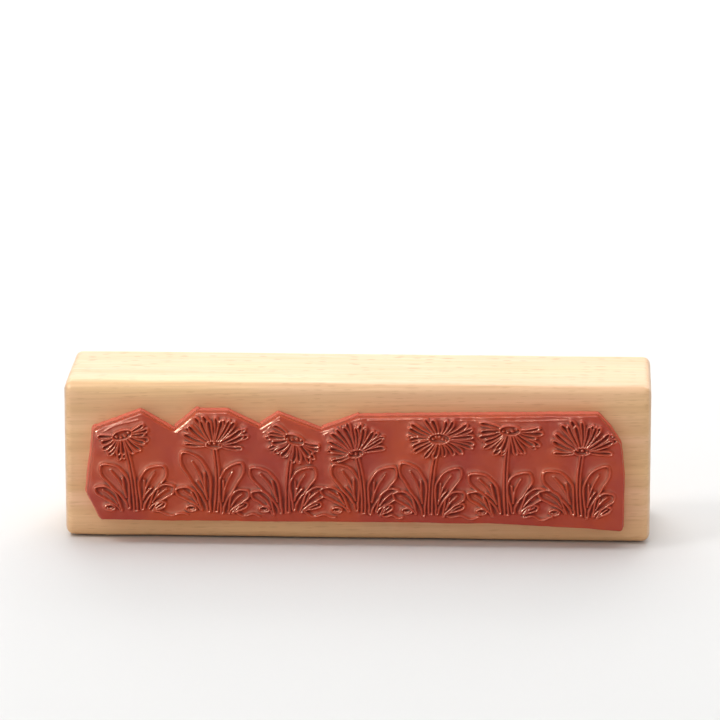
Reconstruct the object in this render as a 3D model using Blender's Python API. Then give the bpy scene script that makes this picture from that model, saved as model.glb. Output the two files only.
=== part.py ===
"""Wood-mounted rubber stamp with a border of daisies, standing on its long side.

Metres, +Z up. The origin is the middle of the wood block's base. +X runs along the block, the
stamping side faces -Y and the printed side faces +Y. Each plant of the border has the same x and z
on both sides, so the print reads as the mirror image of the die, as a stamped impression does.
"""

import math

import bmesh
import bpy
from mathutils import Matrix, Vector

# Wood block
BLOCK_LENGTH = 0.110
BLOCK_DEPTH = 0.025
BLOCK_HEIGHT = 0.030
BLOCK_EDGE_RADIUS = 0.0015
BLOCK_EDGE_STEPS = 4

# Layers bonded on the stamping side, from the block's face outwards. A film lies in the middle of
# each bond line, which keeps the thicker layers apart.
BOND_LINE = 0.0003
FILM_THICKNESS = 0.0001
FILM_INSET = 0.0003
FOAM_THICKNESS = 0.0015
SHEET_THICKNESS = 0.0011
RELIEF_HEIGHT = 0.0009
RELIEF_ROOT = 0.0003

# Ink on the printed side
INK_GAP = 0.0001
INK_THICKNESS = 0.0001

# Outline of the cut die and its cushion: straight scissor cuts round the flower heads, as (x, z)
DIE_CORNERS = (
    (-0.0477, 0.0042),
    (-0.0501, 0.0092),
    (-0.0487, 0.0215),
    (-0.0401, 0.0249),
    (-0.0340, 0.0214),
    (-0.0295, 0.0252),
    (-0.0241, 0.0252),
    (-0.0179, 0.0221),
    (-0.0142, 0.0247),
    (-0.0065, 0.0217),
    (0.0005, 0.0245),
    (0.0451, 0.0254),
    (0.0474, 0.0229),
    (0.0492, 0.0198),
    (0.0499, 0.0137),
    (0.0498, 0.0032),
    (0.0437, 0.0037),
    (0.0258, 0.0044),
)
DIE_CORNER_RADIUS = 0.0005
DIE_CORNER_STEPS = 3

# Line art of the border
LINE_WIDTH = 0.00036
GROUND_Z = 0.0060
GROUND_HALF_WIDTH = 0.0040
STEM_WIDTH = 0.0009
PETAL_HALF_WIDTH = 0.00040
PETAL_END_SHARE = 0.45
PETAL_ROOT_SHARE = 0.7
PETAL_SHOULDER_SHARE = 0.85
CENTRE_STEPS = 12
LEAF_STEPS = 5
LEAF_STALK_SHARE = 0.22
LEAF_SWELL_DELAY = 1.3
LEAF_SWELL_FULLNESS = 0.8

# Flower heads. Their petals spread between two angles, counted from +X towards +Z.
DISC = "disc"
FAN = "fan"
BELL = "bell"
PETAL_SPREAD = {DISC: (0.0, 337.5), FAN: (6.0, 174.0), BELL: (186.0, 354.0)}
PETAL_COUNT = {DISC: 16, FAN: 11, BELL: 11}
CENTRE_RADII = {DISC: (0.0020, 0.0010), FAN: (0.0015, 0.0009), BELL: (0.0019, 0.0010)}

# Plants from -X to +X: kind of head, foot x, head (x, z), petal reach along x and z, tilt in
# degrees, and the tips of the two tall leaves, measured from the foot
PLANTS = (
    (BELL, -0.0413, (-0.0437, 0.0209), (0.0047, 0.0045), 17.0, (-0.0064, 0.0089), (0.0052, 0.0088)),
    (FAN, -0.0263, (-0.0265, 0.0192), (0.0062, 0.0056), -2.0, (-0.0061, 0.0115), (0.0048, 0.0096)),
    (BELL, -0.0128, (-0.0115, 0.0204), (0.0053, 0.0044), -21.0, (-0.0069, 0.0086), (0.0048, 0.0088)),
    (FAN, 0.0014, (0.0000, 0.0178), (0.0057, 0.0060), 12.0, (-0.0056, 0.0094), (0.0058, 0.0091)),
    (DISC, 0.0139, (0.0156, 0.0209), (0.0065, 0.0039), 0.0, (-0.0054, 0.0099), (0.0055, 0.0090)),
    (BELL, 0.0282, (0.0287, 0.0226), (0.0061, 0.0050), -2.0, (-0.0070, 0.0078), (0.0040, 0.0083)),
    (FAN, 0.0419, (0.0422, 0.0187), (0.0062, 0.0058), 0.0, (-0.0067, 0.0085), (0.0050, 0.0097)),
)
TALL_LEAF_BASE = 0.0012
TALL_LEAF_HALF_WIDTH = 0.0016
TALL_LEAF_BEND = 0.0011

# Low leaves of a plant, measured from its foot: base x, tip (x, height), half width, sideways bend
LOW_LEAVES = (
    (-0.0026, (-0.0056, 0.0040), 0.0009, -0.0004),
    (0.0026, (0.0055, 0.0038), 0.0009, 0.0004),
)
LOW_LEAF_VARIATION = 0.08
VARIATION_STEP_PLANT = 2.4
VARIATION_STEP_LEAF = 1.7

# Colours (linear RGB) and roughness
WOOD_LOOK = ((0.66, 0.44, 0.25), 0.6)
FILM_LOOK = ((0.80, 0.78, 0.70), 0.4)
FOAM_LOOK = ((0.78, 0.14, 0.09), 0.9)
RUBBER_LOOK = ((0.34, 0.05, 0.03), 0.7)
INK_LOOK = ((0.012, 0.010, 0.010), 0.6)


def clear_scene():
    """Remove whatever the new file starts with."""
    for old in list(bpy.data.objects):
        bpy.data.objects.remove(old)


def material(name, look):
    """Plain Principled material from a (colour, roughness) pair."""
    colour, roughness = look
    made = bpy.data.materials.new(name)
    made.use_nodes = True
    shader = made.node_tree.nodes["Principled BSDF"]
    shader.inputs["Base Color"].default_value = (*colour, 1.0)
    shader.inputs["Roughness"].default_value = roughness
    shader.inputs["Metallic"].default_value = 0.0
    return made


def add_object(name, bm, look):
    """Turn a bmesh into a named object whose faces point outwards."""
    bmesh.ops.recalc_face_normals(bm, faces=bm.faces)
    mesh = bpy.data.meshes.new(name)
    bm.to_mesh(mesh)
    bm.free()
    mesh.materials.append(look)
    made = bpy.data.objects.new(name, mesh)
    bpy.context.scene.collection.objects.link(made)
    return made


def add_prism(bm, outline, y_low, y_high):
    """Closed prism over an outline of (x, z) points, from y_low to y_high."""
    low = [bm.verts.new((x, y_low, z)) for x, z in outline]
    high = [bm.verts.new((x, y_high, z)) for x, z in outline]
    bm.faces.new(low)
    bm.faces.new(high)
    for i, (a, b) in enumerate(zip(low, high)):
        after = (i + 1) % len(low)
        bm.faces.new((a, low[after], high[after], b))


def add_ring(bm, outer, inner, y_low, y_high):
    """Closed ring between two outlines with the same number of points."""
    rings = []
    for outline, y in ((outer, y_low), (inner, y_low), (inner, y_high), (outer, y_high)):
        rings.append([bm.verts.new((x, y, z)) for x, z in outline])
    for ring, beside in zip(rings, rings[1:] + rings[:1]):
        for i in range(len(ring)):
            after = (i + 1) % len(ring)
            bm.faces.new((ring[i], ring[after], beside[after], beside[i]))


def inset(points, distance):
    """Move each side of a clockwise outline inwards by a distance, keeping its corners."""
    moved = []
    for i, point in enumerate(points):
        before = (point - points[i - 1]).normalized()
        after = (points[(i + 1) % len(points)] - point).normalized()
        inwards = Vector((before.y + after.y, -before.x - after.x)).normalized()
        half_turn = math.sqrt((1.0 + before.dot(after)) / 2.0)
        moved.append(point + inwards * distance / half_turn)
    return moved


def rounded(points, radius, steps):
    """Replace each corner of an outline by an arc of the given radius."""
    outline = []
    for i, corner in enumerate(points):
        before = (points[i - 1] - corner).normalized()
        after = (points[(i + 1) % len(points)] - corner).normalized()
        half_angle = before.angle(after) / 2.0
        centre = corner + (before + after).normalized() * radius / math.sin(half_angle)
        start = corner + before * radius / math.tan(half_angle) - centre
        end = corner + after * radius / math.tan(half_angle) - centre
        turn = start.angle_signed(end)
        for step in range(steps + 1):
            outline.append(centre + Matrix.Rotation(-turn * step / steps, 2) @ start)
    return outline


def die_outline(distance):
    """Outline of the die, set back from its cut edge by a distance."""
    corners = [Vector(corner) for corner in DIE_CORNERS]
    if distance > 0.0:
        corners = inset(corners, distance)
    return rounded(corners, DIE_CORNER_RADIUS, DIE_CORNER_STEPS)


def block(look):
    """Solid block with all its edges rounded."""
    bm = bmesh.new()
    bmesh.ops.create_cube(bm, size=1.0)
    bmesh.ops.scale(bm, verts=bm.verts, vec=(BLOCK_LENGTH, BLOCK_DEPTH, BLOCK_HEIGHT))
    bmesh.ops.translate(bm, verts=bm.verts, vec=(0.0, 0.0, BLOCK_HEIGHT / 2.0))
    made = add_object("wood_block", bm, look)
    bevel = made.modifiers.new("rounded_edges", "BEVEL")
    bevel.width = BLOCK_EDGE_RADIUS
    bevel.segments = BLOCK_EDGE_STEPS


def layer(name, distance, y_near, thickness, look):
    """One cut layer of the stamping side, from y_near towards -Y."""
    bm = bmesh.new()
    add_prism(bm, die_outline(distance), y_near - thickness, y_near)
    return add_object(name, bm, look)


def petal_outline(angle, centre_radii, reach):
    """Slim paddle from inside the head's centre to its rim, along an angle about the centre."""
    rim = Vector((math.cos(angle) * reach[0], math.sin(angle) * reach[1]))
    root = Vector((math.cos(angle) * centre_radii[0], math.sin(angle) * centre_radii[1]))
    root *= PETAL_ROOT_SHARE
    along = (rim - root).normalized()
    across = Vector((-along.y, along.x)) * PETAL_HALF_WIDTH
    end_across = across * PETAL_END_SHARE
    shoulder = root.lerp(rim, PETAL_SHOULDER_SHARE)
    return [
        root - end_across,
        shoulder - across,
        rim - end_across,
        rim + end_across,
        shoulder + across,
        root + end_across,
    ]


def ellipse(radii, steps):
    """Points round an ellipse about the origin."""
    angles = [2.0 * math.pi * step / steps for step in range(steps)]
    return [Vector((radii[0] * math.cos(a), radii[1] * math.sin(a))) for a in angles]


def head_outlines(kind, head, reach, tilt):
    """Outlines of one flower head: its centre, then its petals."""
    first, last = PETAL_SPREAD[kind]
    count = PETAL_COUNT[kind]
    outlines = [ellipse(CENTRE_RADII[kind], CENTRE_STEPS)]
    for i in range(count):
        angle = math.radians(first + (last - first) * i / (count - 1))
        outlines.append(petal_outline(angle, CENTRE_RADII[kind], reach))
    turn = Matrix.Rotation(math.radians(tilt), 2)
    return [[turn @ point + Vector(head) for point in outline] for outline in outlines]


def strip_outline(start, end, width):
    """Straight strip from start to end."""
    along = (end - start).normalized()
    across = Vector((-along.y, along.x)) * width / 2.0
    return [start - across, end - across, end + across, start + across]


def leaf_half_width(t, half_width):
    """Half width of a leaf at t along its midrib: a thin stalk, then a rounded blade."""
    blade = max(0.0, (t - LEAF_STALK_SHARE) / (1.0 - LEAF_STALK_SHARE))
    swell = math.sin(math.pi * blade ** LEAF_SWELL_DELAY) ** LEAF_SWELL_FULLNESS
    return LINE_WIDTH + (half_width - LINE_WIDTH) * swell


def leaf_rings(base, tip, half_width, bend):
    """Outer and inner outline of a leaf's raised edge, whose midrib is a bent line."""
    along = (tip - base).normalized()
    across = Vector((-along.y, along.x))
    rings = []
    for offset, cut in ((LINE_WIDTH / 2.0, 0.0), (-LINE_WIDTH / 2.0, LINE_WIDTH)):
        left = []
        right = []
        for step in range(LEAF_STEPS + 1):
            t = step / LEAF_STEPS
            reach = cut + ((tip - base).length - 2.0 * cut) * t
            middle = base + along * reach + across * bend * math.sin(math.pi * t)
            side = across * (leaf_half_width(t, half_width) + offset)
            left.append(middle + side)
            right.append(middle - side)
        rings.append(right + left[::-1])
    return rings


def plant_leaves(index, foot):
    """Rings of the leaves of one plant: its two tall ones, then the low ones, which vary a little."""
    leaves = []
    for side, tip in zip((-1.0, 1.0), PLANTS[index][-2:]):
        base = foot + Vector((side * TALL_LEAF_BASE, 0.0))
        bend = side * TALL_LEAF_BEND
        leaves.append(leaf_rings(base, foot + Vector(tip), TALL_LEAF_HALF_WIDTH, bend))
    for number, (base_x, tip, half_width, bend) in enumerate(LOW_LEAVES):
        change = math.sin(VARIATION_STEP_PLANT * index + VARIATION_STEP_LEAF * number)
        size = 1.0 + LOW_LEAF_VARIATION * change
        base = foot + Vector((base_x, 0.0))
        leaves.append(leaf_rings(base, foot + Vector(tip) * size, half_width, bend * size))
    return leaves


def add_plant(bm, index, y_low, y_high):
    """Raised shapes of one plant: ground line, stem, flower head and leaves, in one bmesh."""
    kind, foot_x, head, reach, tilt = PLANTS[index][:5]
    foot = Vector((foot_x, GROUND_Z))
    ground = Vector((GROUND_HALF_WIDTH, 0.0))
    add_prism(bm, strip_outline(foot - ground, foot + ground, LINE_WIDTH), y_low, y_high)
    add_prism(bm, strip_outline(foot, Vector(head), STEM_WIDTH), y_low, y_high)
    for outline in head_outlines(kind, head, reach, tilt):
        add_prism(bm, outline, y_low, y_high)
    for outer, inner in plant_leaves(index, foot):
        add_ring(bm, outer, inner, y_low, y_high)


def unite(target, cutter):
    """Join a helper's shapes to an object as one closed body. The helper isn't part of the model."""
    cutter.hide_render = True
    cutter.display_type = "WIRE"
    union = target.modifiers.new("union", "BOOLEAN")
    union.operation = "UNION"
    union.use_self = True
    union.object = cutter


def rubber_die(y_near, look):
    """Moulded sheet with the border raised on its face."""
    die = layer("rubber_die", 0.0, y_near, SHEET_THICKNESS, look)
    face = y_near - SHEET_THICKNESS
    bm = bmesh.new()
    for index in range(len(PLANTS)):
        add_plant(bm, index, face - RELIEF_HEIGHT, face + RELIEF_ROOT)
    unite(die, add_object("relief_helper", bm, look))


def index_print(look):
    """Ink of the border on the block's printed side, one body for each plant."""
    y_low = BLOCK_DEPTH / 2.0 + INK_GAP
    y_high = y_low + INK_THICKNESS
    for index, (_, foot_x, head, *_) in enumerate(PLANTS):
        bm = bmesh.new()
        stem = strip_outline(Vector((foot_x, GROUND_Z)), Vector(head), STEM_WIDTH)
        add_prism(bm, stem, y_low, y_high)
        ink = add_object(f"index_print_daisy_{index + 1}", bm, look)
        bm = bmesh.new()
        add_plant(bm, index, y_low, y_high)
        unite(ink, add_object(f"ink_helper_{index + 1}", bm, look))


def stamping_side(film_look, foam_look, rubber_look):
    """Adhesive film, foam cushion, second film and rubber die, stacked towards -Y."""
    film_set_back = (BOND_LINE - FILM_THICKNESS) / 2.0
    y = -BLOCK_DEPTH / 2.0
    layer("block_adhesive", FILM_INSET, y - film_set_back, FILM_THICKNESS, film_look)
    y -= BOND_LINE
    layer("foam_cushion", 0.0, y, FOAM_THICKNESS, foam_look)
    y -= FOAM_THICKNESS
    layer("die_adhesive", FILM_INSET, y - film_set_back, FILM_THICKNESS, film_look)
    y -= BOND_LINE
    rubber_die(y, rubber_look)


def main():
    clear_scene()
    film_look = material("adhesive_film", FILM_LOOK)
    block(material("wood", WOOD_LOOK))
    stamping_side(film_look, material("cushion_foam", FOAM_LOOK), material("red_rubber", RUBBER_LOOK))
    index_print(material("black_ink", INK_LOOK))


main()
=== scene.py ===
"""Looks of a wood-mounted rubber stamp with a daisy border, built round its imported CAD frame."""

import sys
import math

import bmesh
import bpy
import numpy as np
from mathutils import Matrix, Vector


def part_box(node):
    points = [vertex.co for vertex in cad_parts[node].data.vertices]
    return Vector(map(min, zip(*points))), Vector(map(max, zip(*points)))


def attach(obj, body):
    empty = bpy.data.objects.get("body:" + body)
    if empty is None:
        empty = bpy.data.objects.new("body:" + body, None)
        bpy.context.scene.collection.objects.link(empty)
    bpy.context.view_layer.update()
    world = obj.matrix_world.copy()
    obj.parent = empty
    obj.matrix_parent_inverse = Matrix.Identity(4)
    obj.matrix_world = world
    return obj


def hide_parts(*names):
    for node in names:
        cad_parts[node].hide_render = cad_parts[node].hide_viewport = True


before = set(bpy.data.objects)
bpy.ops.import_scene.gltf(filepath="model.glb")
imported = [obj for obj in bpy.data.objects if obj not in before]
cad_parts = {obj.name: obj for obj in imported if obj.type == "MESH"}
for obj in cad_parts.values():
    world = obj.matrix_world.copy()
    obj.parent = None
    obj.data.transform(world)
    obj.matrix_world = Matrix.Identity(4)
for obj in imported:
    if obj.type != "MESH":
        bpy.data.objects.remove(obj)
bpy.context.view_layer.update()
MM = 0.001

# Places read from the frame: the block, and each layer's inner and outer y on the stamping side
BLOCK_LOW, BLOCK_HIGH = (np.array(corner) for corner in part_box("wood_block"))
BLOCK_FACE_Y = BLOCK_LOW[1]
PRINT_FACE_Y = BLOCK_HIGH[1]
FOAM_INNER_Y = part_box("foam_cushion")[1][1]
FOAM_OUTER_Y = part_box("foam_cushion")[0][1]
DIE_INNER_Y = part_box("rubber_die")[1][1]
PRINTING_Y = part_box("rubber_die")[0][1]

# Smooth noise: one random table, of which every use reads a layer of its own
SEED = 7
NOISE_SIDE = 256
NOISE_START = 1000.0
NOISE_SHIFT = 37.0
BLOCK_SLANT = (3.0, -2.0)
WALL_SLANT = (1.0, -2.0)
(SANDING_LAYER, DIE_WAVE_LAYER, DIE_GRAIN_LAYER, BLOCK_GLUE_LAYER, FOAM_LAYER, DIE_GLUE_LAYER,
 CUT_WANDER_LAYER, CUT_RAG_LAYER, PEN_LAYER) = range(9)

# Block
EDGE_RADIUS = 1.5 * MM
EDGE_STEPS = 5
BLOCK_CELL = 1.6 * MM
SANDING_DEPTH = 0.035 * MM
SANDING_WAVELENGTH = 9.0 * MM
EDGE_WEAR = 3.0

# Cut outline of the die's face, as (x, z)
DIE_CORNERS = (
    (-0.0477, 0.0042),
    (-0.0501, 0.0092),
    (-0.0487, 0.0215),
    (-0.0401, 0.0249),
    (-0.0340, 0.0214),
    (-0.0295, 0.0252),
    (-0.0241, 0.0252),
    (-0.0179, 0.0221),
    (-0.0142, 0.0247),
    (-0.0065, 0.0217),
    (0.0005, 0.0245),
    (0.0451, 0.0254),
    (0.0474, 0.0229),
    (0.0492, 0.0198),
    (0.0499, 0.0137),
    (0.0498, 0.0032),
    (0.0437, 0.0037),
    (0.0258, 0.0044),
)
DIE_CORNER_RADIUS = 0.5 * MM
DIE_CORNER_STEPS = 4
CUT_STEP = 0.35 * MM
CUT_WANDER = 0.09 * MM
CUT_WANDER_WAVELENGTH = 6.0 * MM
CUT_RAGGEDNESS = 0.025 * MM
CUT_RAG_WAVELENGTH = 0.8 * MM

# Cut wall: how far it leans out on its way to the block, everywhere and at the left end besides,
# and the shares of its depth at which it has points
CUT_LEAN = 0.25 * MM
CUT_LEAN_LEFT = 0.85 * MM
WALL_WAVELENGTH = 0.9 * MM
LAYER_WALL_LEVELS = (0.0, 0.08, 0.3, 0.5, 0.7, 0.92, 1.0)
DIE_WALL_LEVELS = (0.12, 0.4, 0.7, 1.0)
BLOCK_GLUE_SETBACK = 0.15 * MM
DIE_GLUE_SETBACK = 0.35 * MM
GLUE_UNEVENNESS = 0.03 * MM
FOAM_BULGE = 0.08 * MM
FOAM_UNEVENNESS = 0.05 * MM

# Relief of the die. FAR stands for the distance where no line is near
RELIEF_HEIGHT = 0.9 * MM
FLANK_WIDTH = 0.32 * MM
TOP_ROUNDING = 0.30
ROUNDING_START = 0.10 * MM
SKIRT_WIDTH = 1.00 * MM
SKIRT_REACH = 2.2 * SKIRT_WIDTH
SKIRT_SHARE = 0.32
DIE_WAVE = 0.03 * MM
DIE_WAVELENGTH = 5.0 * MM
DIE_GRAIN = 0.012 * MM
DIE_GRAIN_WAVELENGTH = 0.6 * MM
DIE_CELL = 0.09 * MM
DIE_TRIANGLES = 185000
FAR = 10.0 * MM
RIM_WIDTH = 0.25 * MM
RIM_REACH = 4.0 * RIM_WIDTH
RIM_DROP = 0.06 * MM

# Recesses: how far a point lies below the average height round about it. The rubber's colour paints
# shade into the recesses and a highlight onto the ridges from it
RECESS = "recess"
RECESS_REACH = 0.27 * MM
RECESS_DEPTH = 0.32 * MM
BLUR_EXTENT = 2.5

# Low ridges that the mould left inside some cuts: number of the corner where the cut starts
LIP_CUTS = (2, 4, 7, 9, 10)
LIP_INSET = 0.60 * MM
LIP_ENDS = (0.04, 0.90)
LIP_SAG = 0.25 * MM
LIP_HALF_WIDTH = 0.03 * MM
LIP_FLANK_WIDTH = 0.18 * MM
LIP_HEIGHT = 0.30 * MM

# Line art of the border
OUTLINE_HALF_WIDTH = 0.115 * MM
PETAL_LINE_HALF_WIDTH = 0.085 * MM
DETAIL_HALF_WIDTH = 0.08 * MM
PEN_VARIATION = 0.045 * MM
PEN_WAVELENGTH = 1.1 * MM
LINE_STEPS = 12
INK_CELL = 0.075 * MM
INK_MARGIN = 4.0 * OUTLINE_HALF_WIDTH
INK_THICKNESS = 0.03 * MM

# Ground, and the wavy line along it: where it starts and ends, measured from the feet of its plants
GROUND_Z = 0.0062
GROUND_LINE_Z = 0.0056
GROUND_LINE_START = 3.2 * MM
GROUND_LINE_END = -5.2 * MM
GROUND_LINE_WAVE = 0.30 * MM
GROUND_LINE_RISE = 0.5 * MM

# Variations: steps of their phase, and numbers that tell the parts of a plant apart. A petal's or
# a seed's own number is multiplied by its part
PLANT_PHASE = 2.4
PART_PHASE = 1.7
ROW_STEP = 0.7
TALL_LEAF_PART = 0
LOW_LEAF_PART = 4
BUD_PART = 6
TALL_LEAF_BASE_PART = 8
LOW_LEAF_BASE_PART = 11
PETAL_TURN_PART = 2.0
PETAL_LENGTH_PART = 3.0
PETAL_BEND_PART = 4.0
PETAL_WIDTH_PART = 5.0
SEED_PART = 3.0

DISC = "disc"
FAN = "fan"
BELL = "bell"
# Rows of petals, as first and last angle in degrees, count, and share of the head's reach
PETAL_ROWS = {
    DISC: ((8.0, 172.0, 10, 1.0), (-170.0, -10.0, 10, 0.98)),
    FAN: ((16.0, 164.0, 9, 1.02), (-2.0, 182.0, 10, 0.93)),
    BELL: ((168.0, 372.0, 12, 1.0), (196.0, 344.0, 8, 0.92)),
}
PETAL_HALF_WIDTH = 0.42 * MM
PETAL_WIDTH_VARIATION = 0.15
PETAL_LENGTH_VARIATION = 0.09
PETAL_TURN_VARIATION = math.radians(4.0)
PETAL_BEND = 0.3 * MM
PETAL_STEPS = 9

# A petal's root as a share of the centre's radii and of the petal's width, the shares of its
# length that its body and its round tip take, and how the body widens
PETAL_ROOT_SHARE = 0.6
PETAL_ROOT_WIDTH = 0.40
PETAL_BODY = 0.8
PETAL_TIP = 0.2
PETAL_WIDENING = 0.9

CENTRE_RADII = {DISC: (2.0 * MM, 1.0 * MM), FAN: (1.5 * MM, 0.75 * MM), BELL: (1.95 * MM, 0.95 * MM)}
CENTRE_SEEDS = {DISC: 5, FAN: 3, BELL: 4}
CENTRE_POINTS = 20
SEED_RADII = (0.10 * MM, 0.08 * MM)
SEED_SPREAD = (0.62, 0.4)
SEED_STEPS = 6
STEM_HALF_WIDTH = 0.33 * MM
STEM_BEND = 0.5 * MM
STEM_TAPER = 0.2
STEM_STEPS = 12

# Plants from -X to +X: kind of head, foot x, head (x, z), petal reach along x and z, tilt in
# degrees, and the tips of the two tall leaves, measured from the foot
PLANTS = (
    (BELL, -0.0413, (-0.0437, 0.0209), (0.0047, 0.0045), 17.0, (-0.0064, 0.0089), (0.0052, 0.0088)),
    (FAN, -0.0263, (-0.0265, 0.0192), (0.0062, 0.0056), -2.0, (-0.0061, 0.0115), (0.0048, 0.0096)),
    (BELL, -0.0128, (-0.0115, 0.0204), (0.0053, 0.0044), -21.0, (-0.0069, 0.0086), (0.0048, 0.0088)),
    (FAN, 0.0014, (0.0000, 0.0178), (0.0057, 0.0060), 12.0, (-0.0056, 0.0094), (0.0058, 0.0091)),
    (DISC, 0.0139, (0.0156, 0.0209), (0.0065, 0.0039), 0.0, (-0.0054, 0.0099), (0.0055, 0.0090)),
    (BELL, 0.0282, (0.0287, 0.0226), (0.0061, 0.0050), -2.0, (-0.0070, 0.0078), (0.0040, 0.0083)),
    (FAN, 0.0419, (0.0422, 0.0187), (0.0062, 0.0058), 0.0, (-0.0067, 0.0085), (0.0050, 0.0097)),
)
TALL_LEAF_HALF_WIDTH = 1.95 * MM
TALL_LEAF_BEND = 1.1 * MM
TALL_LEAF_BASE = 1.2 * MM

# Low leaves in front, measured from the foot: base x, tip (x, height), half width, sideways bend
LOW_LEAVES = (
    (-0.0026, (-0.0073, 0.0042), 0.00125, -0.0008),
    (0.0024, (0.0067, 0.0045), 0.00135, 0.0007),
    (0.0031, (0.0060, 0.0017), 0.00065, 0.0002),
)
LEAF_VARIATION = 0.09
BASE_VARIATION = 0.45 * MM
LEAF_STEPS = 20

# Profile of a leaf, in shares of its length and half width. The skew moves the blade's widest
# place towards the tip, and the fullness rounds its ends
STALK_WIDTH = 0.15
STALK_START = 0.04
STALK_TAPER = 0.25
BLADE_START = 0.12
BLADE_SKEW = 1.6
BLADE_FULLNESS = 0.62
BLADE_WIDTH = 0.84
BLADE_WAVE = 0.05
BLADE_WAVE_PHASE = 17.0

# Veins of a leaf: first and last share of its length, and how far it leans off in half widths
MIDRIB = (0.22, 0.80, 0.12)
SIDE_VEINS = ((0.30, 0.58, 0.50), (0.20, 0.50, -0.42))
VEIN_CURVE = 1.5
VEIN_STEPS = 8

BUD_PLACE = (-0.0046, 0.0006)
BUD_RADII = (0.95 * MM, 0.55 * MM)
BUD_VARIATION = 0.35 * MM
BUD_POINTS = 18
SLIT_SHARE = (0.55, 0.45)
SLIT_ANGLES = (200.0, 350.0)
SLIT_STEPS = 6

# Beech: tilt of the grain, place of the pith, and rings, which come every 3.3 mm of radius
GRAIN_TILT = (0.0, math.radians(1.6), 0.0)
PITH_Y = 0.035
PITH_Z = -0.095
RING_PHASE_PER_METRE = 1900.0
RING_DRIFT = 0.006

# Beech: scales of its patterns along x, y and z, and its colours
FIBRE_SCALE = (55.0, 2300.0, 2300.0)
STREAK_SCALE = (9.0, 330.0, 330.0)
TONE_SCALE = (22.0, 110.0, 110.0)
PORE_SCALE = (700.0, 6500.0, 6500.0)
RING_STRENGTH = 0.22
END_RING_STRENGTH = 0.40
BEECH_PALE = (0.845, 0.545, 0.268)
BEECH_ROSY = (0.825, 0.510, 0.298)
BEECH_STREAK = (0.715, 0.425, 0.205)
BEECH_RING = (0.685, 0.390, 0.187)
BEECH_FIBRE = (0.635, 0.367, 0.180)
BEECH_FLECK = (0.450, 0.200, 0.085)
END_PALE = (0.790, 0.560, 0.385)
END_PORE = (0.700, 0.465, 0.300)
END_RING = (0.640, 0.400, 0.245)

# Ray flecks: scale of their cells, size in cells, share of the cells that hold one, strength
SMALL_FLECKS = ((340.0, 1000.0, 2700.0), 0.40, 0.50, 0.62)
LARGE_FLECKS = ((170.0, 600.0, 1700.0), 0.34, 0.22, 0.66)
FLECK_FULL_SHARE = 0.7
FLECK_CORE = 0.35

# Other colours. A cloud is the colour that slow noise mixes in
RUBBER = (0.500, 0.060, 0.012)
RUBBER_CLOUD = (0.400, 0.036, 0.016)
# Painted light in the rubber's colour: the next colour is a painted highlight on the ridges, the one
# after it painted shade in the recesses
RUBBER_PAINTED_HIGHLIGHT = (0.600, 0.100, 0.046)
RUBBER_PAINTED_SHADE = (0.130, 0.011, 0.005)
FOAM = (0.610, 0.104, 0.056)
FOAM_CLOUD = (0.540, 0.086, 0.046)
FOAM_PIT = (0.670, 0.150, 0.086)
GLUE = (0.42, 0.20, 0.13)
GLUE_CLOUD = (0.34, 0.14, 0.09)
INK = (0.010, 0.008, 0.008)
INK_THIN = (0.075, 0.048, 0.030)
INK_SCALE = (400.0, 3000.0, 6000.0)
FLOOR = (0.70, 0.70, 0.70)
FLOOR_CLOUD = (0.71, 0.71, 0.705)
WHITE = (1.0, 1.0, 1.0, 1.0)

# Stage. Lamps are name, place, side and power; the gleams only show as reflections
FLOOR_GAP = 0.30 * MM
FLOOR_HALF_SIDE = 4.0
ROOM_BRIGHTNESS = 0.60
LAMP_TARGET = (0.0, 0.0, 0.015)
SOFT_BOXES = (
    ("top", (0.05, 0.03, 0.75), 0.35, 1.2),
    ("left_high", (-0.40, -0.12, 0.70), 0.20, 1.3),
    ("over", (-0.05, 0.55, 0.75), 0.8, 3.2),
    ("back_panel", (0.0, 1.4, 0.35), 1.2, 16.0),
)
GLEAMS = (
    ("gleam_left", (-0.60, -0.40, 0.37), 0.22, 38.0),
    ("gleam_top", (-0.15, -0.45, 0.65), 0.22, 8.0),
)
GLEAM_COLOUR = (1.0, 0.74, 0.54)
CAMERA_AZIMUTH = math.radians(2.5)
CAMERA_ELEVATION = math.radians(14.5)
CAMERA_DISTANCE = 0.95
CAMERA_TARGET = Vector((0.0006, -0.0125, 0.0349))
CAMERA_LENS = 254.7
CAMERA_SENSOR = 36.0
CAMERA_CLIP_START = 0.01


# ---------------- outlines and line art

def vary(plant, part):
    """A fixed variation from -1 to 1, different for each plant and part."""
    return math.sin(PLANT_PHASE * plant + PART_PHASE * part)


def rounded(points, radius, steps):
    """Replace each corner of an outline by an arc of the given radius."""
    outline = []
    for i, corner in enumerate(points):
        before = (points[i - 1] - corner).normalized()
        after = (points[(i + 1) % len(points)] - corner).normalized()
        half_angle = before.angle(after) / 2.0
        centre = corner + (before + after).normalized() * radius / math.sin(half_angle)
        start = corner + before * radius / math.tan(half_angle) - centre
        end = corner + after * radius / math.tan(half_angle) - centre
        turn = start.angle_signed(end)
        for step in range(steps + 1):
            outline.append(centre + Matrix.Rotation(-turn * step / steps, 2) @ start)
    return outline


def walk(outline, step):
    """Even points along a closed outline."""
    points = []
    for start, end in zip(outline, outline[1:] + outline[:1]):
        count = max(1, round((end - start).length / step))
        points += [start.lerp(end, k / count) for k in range(count)]
    return points


def outward(outline, i):
    """Direction out of a clockwise outline at one of its points."""
    along = (outline[(i + 1) % len(outline)] - outline[i - 1]).normalized()
    return Vector((-along.y, along.x))


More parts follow.
